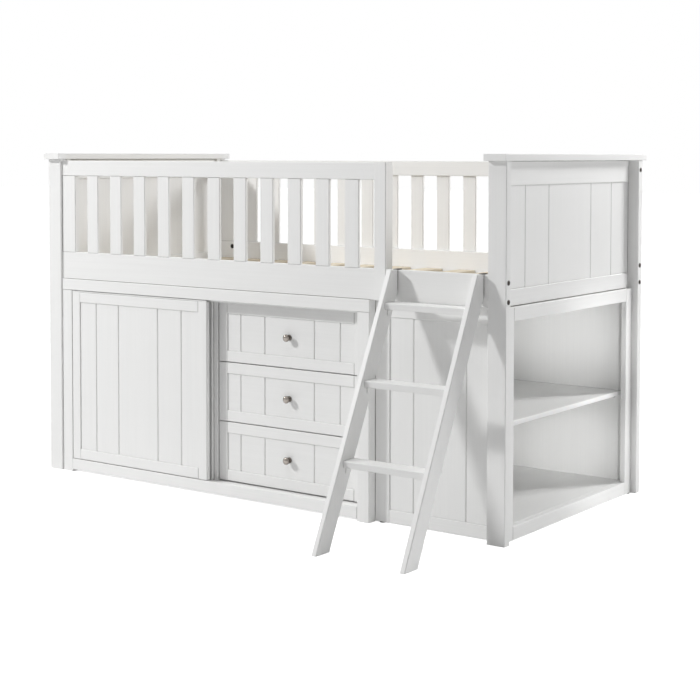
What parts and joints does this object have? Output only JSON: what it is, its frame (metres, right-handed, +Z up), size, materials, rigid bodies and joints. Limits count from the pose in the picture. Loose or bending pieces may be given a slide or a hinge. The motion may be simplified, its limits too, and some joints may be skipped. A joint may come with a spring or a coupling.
{
  "type": "low loft bed",
  "caption": "Low loft bed with slatted guards, a leaning hook-on ladder, and under it a cabinet with a sliding door and drawers and a bookcase open at the foot end.",
  "frame": {"origin": "on the floor under the middle of the whole object, ladder included", "axes": "+X along the bed towards the foot end, +Y from the ladder side to the back, +Z up"},
  "size_m": [2.074, 1.4378, 1.238],
  "materials": {
    "white_lacquer": "satin lacquer",
    "bare_pine": "planed, untreated",
    "dark_steel": "black oxide",
    "zinc_steel": "zinc plated",
    "polished_nickel": "polished",
    "dark_nylon": "matt",
    "white_nylon": "matt"
  },
  "bodies": {
    "bed_frame": {"base_cleats": "white_lacquer", "base_slats": "bare_pine", "bookcase_back": "white_lacquer", "bookcase_base": "white_lacquer", "bookcase_face_frame": "white_lacquer", "bookcase_glides": "dark_nylon", "bookcase_rear_side": "white_lacquer", "bookcase_shelf": "white_lacquer", "bookcase_side_frame": "white_lacquer", "bookcase_side_panel": "white_lacquer", "bookcase_top": "white_lacquer", "cabinet_back": "white_lacquer", "cabinet_divider": "white_lacquer", "cabinet_floor": "white_lacquer", "cabinet_head_rail": "white_lacquer", "cabinet_kick_rail": "white_lacquer", "cabinet_posts": "white_lacquer", "cabinet_shelf": "white_lacquer", "cabinet_sides": "white_lacquer", "cabinet_top": "white_lacquer", "cap_foot": "white_lacquer", "cap_head": "white_lacquer", "drawer_slides": "white_lacquer", "end_battens": "white_lacquer", "foot_panel": "white_lacquer", "foot_rails": "white_lacquer", "guard_back_rail": "white_lacquer", "guard_back_slats": "white_lacquer", "guard_back_stiles": "white_lacquer", "guard_end_post": "white_lacquer", "guard_front_rail": "white_lacquer", "guard_front_slats": "white_lacquer", "guard_front_stile": "white_lacquer", "head_panel": "white_lacquer", "head_rails": "white_lacquer", "post_foot_front": "white_lacquer", "post_foot_rear": "white_lacquer", "post_head_front": "white_lacquer", "post_head_rear": "white_lacquer", "shelf_supports": "zinc_steel", "side_rail_back": "white_lacquer", "side_rail_front": "white_lacquer"},
    "sliding_door": {"door_frame": "white_lacquer", "door_panel": "white_lacquer", "door_runners": "white_nylon"},
    "drawer_top": {"drawer_top_front": "white_lacquer", "drawer_top_box": "white_lacquer", "drawer_top_knob": "polished_nickel"},
    "drawer_middle": {"drawer_middle_front": "white_lacquer", "drawer_middle_box": "white_lacquer", "drawer_middle_knob": "polished_nickel"},
    "drawer_bottom": {"drawer_bottom_front": "white_lacquer", "drawer_bottom_box": "white_lacquer", "drawer_bottom_knob": "polished_nickel"},
    "ladder": {"ladder_stringers": "white_lacquer", "ladder_treads": "white_lacquer", "ladder_brackets": "zinc_steel", "ladder_hooks": "dark_steel"}
  },
  "joints": [
    {"name": "door_slide", "type": "slide", "parent": "bed_frame", "child": "sliding_door", "axis": [-1, 0, 0], "range_m": [-0.668, 0]},
    {"name": "drawer_top_slide", "type": "slide", "parent": "bed_frame", "child": "drawer_top", "axis": [0, -1, 0], "range_m": [0, 0.33]},
    {"name": "drawer_middle_slide", "type": "slide", "parent": "bed_frame", "child": "drawer_middle", "axis": [0, -1, 0], "range_m": [0, 0.33]},
    {"name": "drawer_bottom_slide", "type": "slide", "parent": "bed_frame", "child": "drawer_bottom", "axis": [0, -1, 0], "range_m": [0, 0.33]},
    {"name": "ladder_lift", "type": "slide", "parent": "bed_frame", "child": "ladder", "axis": [0, 0, 1], "range_m": [0, 0.06]}
  ]
}
